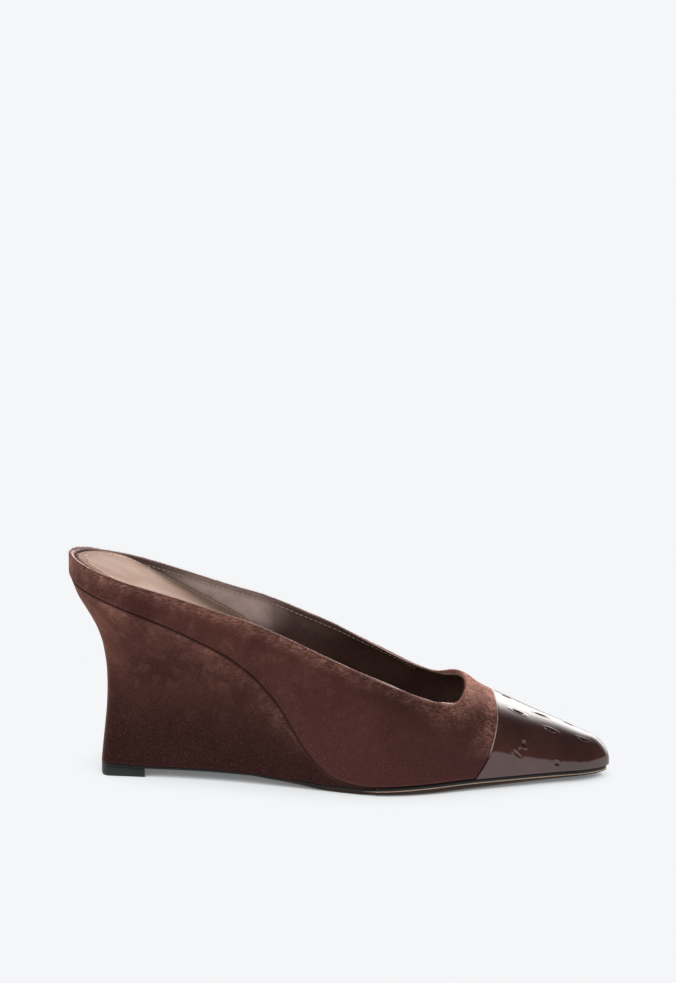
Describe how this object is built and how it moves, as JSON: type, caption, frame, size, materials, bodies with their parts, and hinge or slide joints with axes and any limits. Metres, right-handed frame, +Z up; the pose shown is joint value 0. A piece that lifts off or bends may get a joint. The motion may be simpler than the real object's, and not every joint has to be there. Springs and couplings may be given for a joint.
{
  "type": "wedge mule",
  "caption": "Closed-toe slip-on shoe with a low collar band, a glossy toe cap and a high covered wedge on a thin sole.",
  "frame": {"origin": "on the floor, under the middle of the whole shoe's bounding box", "axes": "+X from heel to toe, +Y towards the inner side of the foot, +Z up"},
  "size_m": [0.235, 0.0774, 0.095],
  "materials": {
    "suede": "napped suede",
    "patent": "embossed patent, high gloss",
    "wedge_suede": "napped suede over a wedge core",
    "sole_leather": "smooth leather with a painted edge",
    "lift_rubber": "satin rubber",
    "sock_leather": "smooth lining leather over a padded board"
  },
  "bodies": {
    "root": {"upper": "suede", "toe_cap": "patent", "wedge": "wedge_suede", "outsole": "sole_leather", "heel_lift": "lift_rubber", "insole": "sock_leather"}
  },
  "joints": []
}
